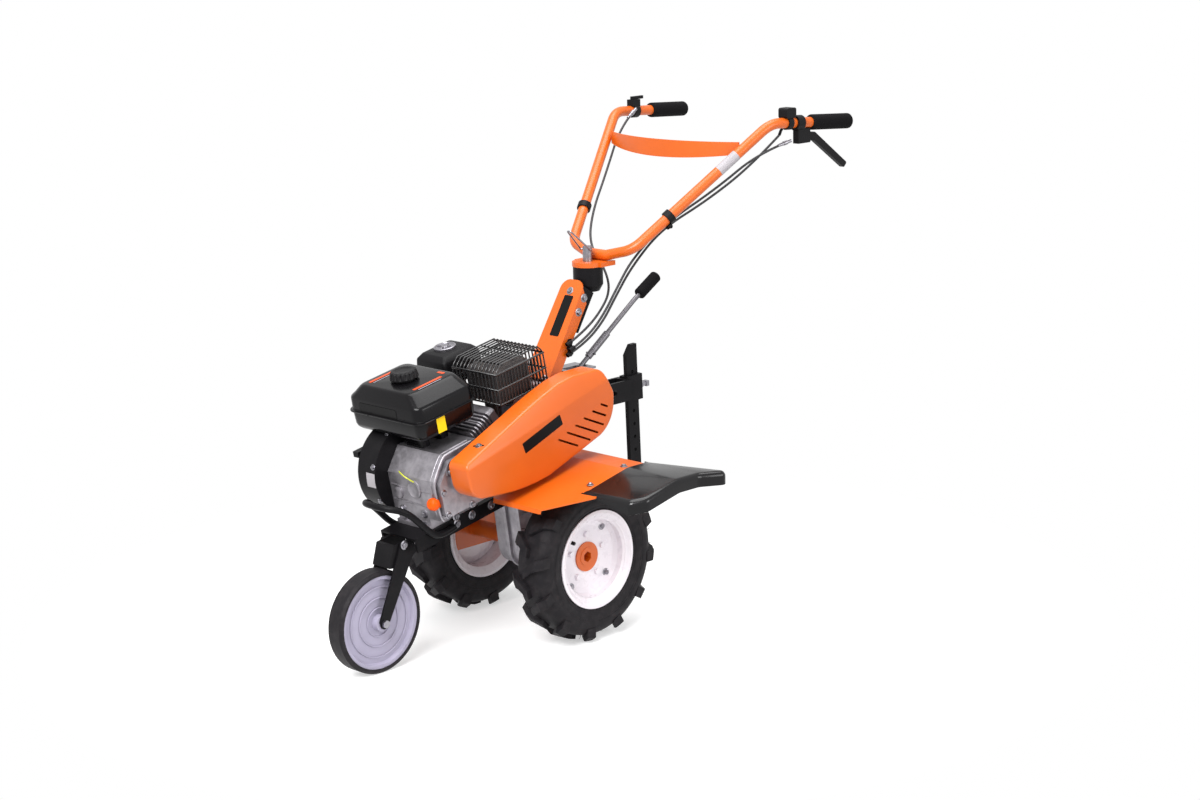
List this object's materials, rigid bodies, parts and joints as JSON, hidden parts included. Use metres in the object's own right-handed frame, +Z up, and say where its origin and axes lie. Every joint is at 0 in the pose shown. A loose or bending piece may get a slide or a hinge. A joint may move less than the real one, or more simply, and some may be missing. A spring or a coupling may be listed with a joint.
{
  "type": "two-wheel hand tractor",
  "caption": "Walking tractor with a petrol engine, two lug wheels, a front transport wheel, a rear depth stake and a handlebar that swivels on its column",
  "frame": {"origin": "on the floor, under the middle of the machine's length and width", "axes": "+X forward to the front wheel, +Y to the machine's left, +Z up"},
  "size_m": [1.5132, 1.056, 1.2183],
  "materials": {
    "orange_enamel": "gloss powder coat",
    "white_enamel": "gloss enamel",
    "black_enamel": "satin enamel",
    "tank_enamel": "gloss enamel",
    "tyre_rubber": "moulded rubber",
    "band_rubber": "moulded rubber",
    "foam_rubber": "closed cell foam",
    "grey_plastic": "moulded",
    "black_plastic": "moulded",
    "gloss_plastic": "vacuum formed",
    "orange_plastic": "moulded",
    "cast_aluminium": "die cast",
    "zinc_steel": "zinc plated",
    "muffler_steel": "heat darkened",
    "cable_plastic": "extruded sheath"
  },
  "bodies": {
    "chassis": {"gearbox": "cast_aluminium", "gear_plate": "zinc_steel", "gear_lever": "zinc_steel", "gear_lever_grip": "foam_rubber", "hitch_bracket": "black_enamel", "stake_clamp_screw": "zinc_steel", "column": "orange_enamel", "column_knuckle": "black_enamel", "crankcase": "cast_aluminium", "fan_housing": "black_enamel", "recoil_starter": "black_enamel", "cylinder_fins": "cast_aluminium", "fuel_tank": "tank_enamel", "fuel_cap": "black_plastic", "air_cleaner": "black_plastic", "air_cleaner_nut": "black_plastic", "carburettor": "cast_aluminium", "muffler": "muffler_steel", "muffler_guard": "black_enamel", "oil_filler_cap": "orange_plastic", "engine_rails": "black_enamel", "front_bumper": "black_enamel", "front_bracket": "black_enamel", "front_fork": "black_enamel", "front_wheel_bolt": "zinc_steel", "belt_cover": "orange_enamel", "belt_cover_back": "orange_enamel", "wings": "orange_enamel", "wing_flaps": "gloss_plastic", "cable_bracket": "black_plastic", "throttle_cable": "cable_plastic", "clutch_cable": "cable_plastic", "stop_wire": "cable_plastic"},
    "drive_wheels": {"tyre_left": "tyre_rubber", "tyre_right": "tyre_rubber", "rim_left": "white_enamel", "rim_right": "white_enamel", "wheel_axle": "orange_enamel"},
    "front_wheel": {"front_wheel_disc": "grey_plastic", "front_tyre": "band_rubber"},
    "handlebar": {"handlebar": "orange_enamel", "swivel_nut": "zinc_steel", "cross_plate": "orange_enamel", "grips": "foam_rubber", "clutch_bracket": "black_plastic", "clutch_lever": "black_plastic", "switch_box": "black_plastic", "throttle_lever": "black_plastic"},
    "stake": {"depth_stake": "black_enamel"}
  },
  "joints": [
    {"name": "axle_spin", "type": "hinge", "parent": "chassis", "child": "drive_wheels", "pos_m": [0.141, 0, 0.202], "axis": [0, 1, 0], "continuous": true},
    {"name": "front_wheel_spin", "type": "hinge", "parent": "chassis", "child": "front_wheel", "pos_m": [0.635, 0, 0.122], "axis": [0, 1, 0], "continuous": true},
    {"name": "handlebar_swivel", "type": "hinge", "parent": "chassis", "child": "handlebar", "pos_m": [-0.089, 0, 0.854], "axis": [0, 0, 1], "range_deg": [-35, 35], "deforming": ["throttle_cable", "clutch_cable", "stop_wire"]},
    {"name": "stake_slide", "type": "slide", "parent": "chassis", "child": "stake", "axis": [0.0332, 0, 0.9995], "range_m": [-0.1, 0.2]}
  ]
}
